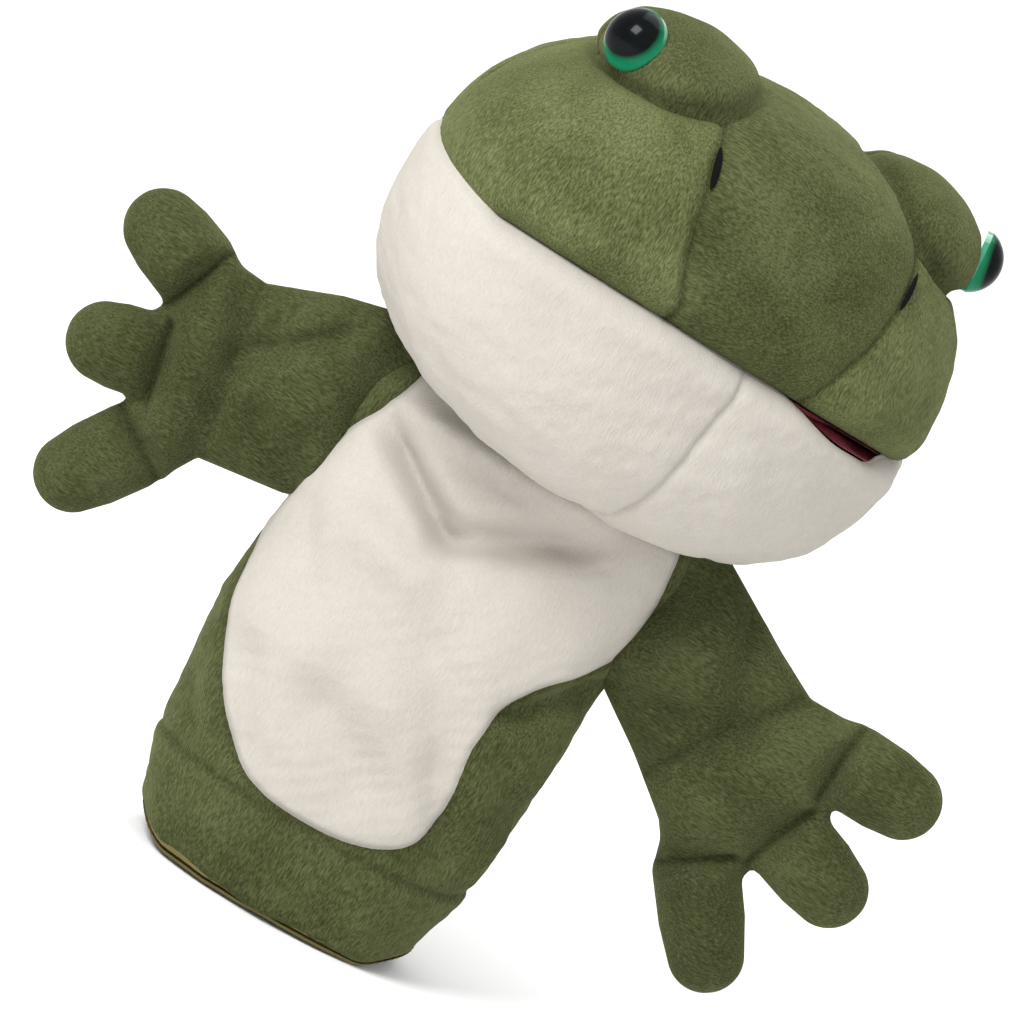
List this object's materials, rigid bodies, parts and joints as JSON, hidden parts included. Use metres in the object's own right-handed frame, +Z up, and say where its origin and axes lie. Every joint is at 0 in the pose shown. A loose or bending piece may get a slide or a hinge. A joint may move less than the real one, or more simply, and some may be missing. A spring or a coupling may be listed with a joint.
{
  "type": "hand puppet",
  "caption": "Plush frog hand puppet with an open hem for a hand, an opening mouth, safety eyes, and two stuffed arms.",
  "frame": {"origin": "centre of the hand opening, at the lower edge of the hem", "axes": "+Z up the body to the head, -Y to the front of the belly, +X to the puppet's left"},
  "size_m": [0.2736, 0.1329, 0.2736],
  "materials": {
    "green_plush": "matte",
    "cream_plush": "matte",
    "mouth_lining": "matte",
    "pocket_lining": "matte",
    "binding": "matte",
    "embroidery": "satin",
    "stuffing": "matte",
    "mouth_board": "matte",
    "eye_lens": "gloss",
    "eye_pupil": "gloss",
    "eye_iris": "gloss",
    "eye_fixings": "matte"
  },
  "bodies": {
    "torso": {"back_panel": "green_plush", "side_panel_right": "green_plush", "side_panel_left": "green_plush", "tummy_panel": "cream_plush", "hem_band": "green_plush", "hem_binding": "binding"},
    "neck_lower": {"neck_sleeve_lower": "green_plush"},
    "neck_upper": {"neck_sleeve_upper": "green_plush"},
    "head": {"brow_back_left": "green_plush", "brow_back_right": "green_plush", "brow_front_left": "green_plush", "brow_front_right": "green_plush", "cheek_panel_left": "green_plush", "cheek_panel_right": "green_plush", "eye_iris_left": "eye_iris", "eye_iris_right": "eye_iris", "eye_lens_left": "eye_lens", "eye_lens_right": "eye_lens", "eye_pupil_left": "eye_pupil", "eye_pupil_right": "eye_pupil", "eye_shank_left": "eye_fixings", "eye_shank_right": "eye_fixings", "eye_washer_left": "eye_fixings", "eye_washer_right": "eye_fixings", "finger_pocket": "pocket_lining", "forehead_panel": "green_plush", "head_back_panel": "green_plush", "head_stuffing": "stuffing", "nostril_left": "embroidery", "nostril_right": "embroidery", "palate_lining": "mouth_lining", "upper_mouth_plate": "mouth_board"},
    "jaw": {"jaw_panel_right": "cream_plush", "jaw_panel_left": "cream_plush", "mouth_floor_lining": "mouth_lining", "lower_mouth_plate": "mouth_board", "thumb_pocket": "pocket_lining", "jaw_stuffing": "stuffing"},
    "shoulder_right": {"shoulder_sleeve_right": "green_plush"},
    "arm_right": {"arm_sleeve_right": "green_plush"},
    "hand_right": {"palm_front_right": "green_plush", "palm_back_right": "green_plush"},
    "finger_upper_right": {"finger_upper_right": "green_plush"},
    "finger_middle_right": {"finger_middle_right": "green_plush"},
    "finger_lower_right": {"finger_lower_right": "green_plush"},
    "shoulder_left": {"shoulder_sleeve_left": "green_plush"},
    "arm_left": {"arm_sleeve_left": "green_plush"},
    "hand_left": {"palm_front_left": "green_plush", "palm_back_left": "green_plush"},
    "finger_upper_left": {"finger_upper_left": "green_plush"},
    "finger_middle_left": {"finger_middle_left": "green_plush"},
    "finger_lower_left": {"finger_lower_left": "green_plush"}
  },
  "joints": [
    {"name": "head_turn", "type": "hinge", "parent": "torso", "child": "neck_lower", "pos_m": [0.004, 0.005, 0.1325], "axis": [0, 0, 1], "range_deg": [-62, 18], "deforming": ["neck_sleeve_lower"]},
    {"name": "head_tilt", "type": "hinge", "parent": "neck_lower", "child": "neck_upper", "pos_m": [0.004, 0.005, 0.1367], "axis": [0, 1, 0], "range_deg": [-20, 10], "deforming": ["neck_sleeve_upper"]},
    {"name": "head_nod", "type": "hinge", "parent": "neck_upper", "child": "head", "pos_m": [0.004, 0.005, 0.144], "axis": [0.8954, 0.4367, -0.0872], "range_deg": [-30, 0]},
    {"name": "jaw_drop", "type": "hinge", "parent": "head", "child": "jaw", "pos_m": [0.00951, 0.00324, 0.19182], "axis": [0.8954, 0.4367, -0.0872], "range_deg": [0, 25]},
    {"name": "shoulder_raise_right", "type": "hinge", "parent": "torso", "child": "shoulder_right", "pos_m": [-0.051, 0, 0.125], "axis": [0, 1, 0], "range_deg": [-32, 30], "deforming": ["shoulder_sleeve_right"]},
    {"name": "arm_swing_right", "type": "hinge", "parent": "shoulder_right", "child": "arm_right", "pos_m": [-0.06577, 0, 0.1224], "axis": [-0.1736, 0, 0.9848], "range_deg": [-25, 45], "deforming": ["arm_sleeve_right"]},
    {"name": "wrist_bend_right", "type": "hinge", "parent": "arm_right", "child": "hand_right", "pos_m": [-0.08054, 0, 0.11979], "axis": [-0.1736, 0, 0.9848], "range_deg": [-45, 45]},
    {"name": "upper_finger_bend_right", "type": "hinge", "parent": "hand_right", "child": "finger_upper_right", "pos_m": [-0.10111, 0, 0.1385], "axis": [0.3746, 0, 0.9272], "range_deg": [-30, 45]},
    {"name": "middle_finger_bend_right", "type": "hinge", "parent": "hand_right", "child": "finger_middle_right", "pos_m": [-0.09955, 0, 0.11238], "axis": [-0.2079, 0, 0.9781], "range_deg": [-30, 45]},
    {"name": "lower_finger_bend_right", "type": "hinge", "parent": "hand_right", "child": "finger_lower_right", "pos_m": [-0.09341, 0, 0.08909], "axis": [-0.8192, 0, 0.5736], "range_deg": [-30, 45]},
    {"name": "shoulder_raise_left", "type": "hinge", "parent": "torso", "child": "shoulder_left", "pos_m": [0.061, 0, 0.118], "axis": [0, -1, 0], "range_deg": [-21, 54], "deforming": ["shoulder_sleeve_left"]},
    {"name": "arm_swing_left", "type": "hinge", "parent": "shoulder_left", "child": "arm_left", "pos_m": [0.07344, 0, 0.10961], "axis": [-0.5592, 0, -0.829], "range_deg": [-25, 45], "deforming": ["arm_sleeve_left"]},
    {"name": "wrist_bend_left", "type": "hinge", "parent": "arm_left", "child": "hand_left", "pos_m": [0.08587, 0, 0.10122], "axis": [-0.5592, 0, -0.829], "range_deg": [-45, 45]},
    {"name": "upper_finger_bend_left", "type": "hinge", "parent": "hand_left", "child": "finger_upper_left", "pos_m": [0.11865, 0, 0.11048], "axis": [-0.0523, 0, -0.9986], "range_deg": [-30, 45]},
    {"name": "middle_finger_bend_left", "type": "hinge", "parent": "hand_left", "child": "finger_middle_left", "pos_m": [0.11435, 0, 0.08443], "axis": [-0.342, 0, -0.9397], "range_deg": [-30, 45]},
    {"name": "lower_finger_bend_left", "type": "hinge", "parent": "hand_left", "child": "finger_lower_left", "pos_m": [0.09705, 0, 0.06594], "axis": [-0.809, 0, -0.5878], "range_deg": [-30, 45]}
  ]
}
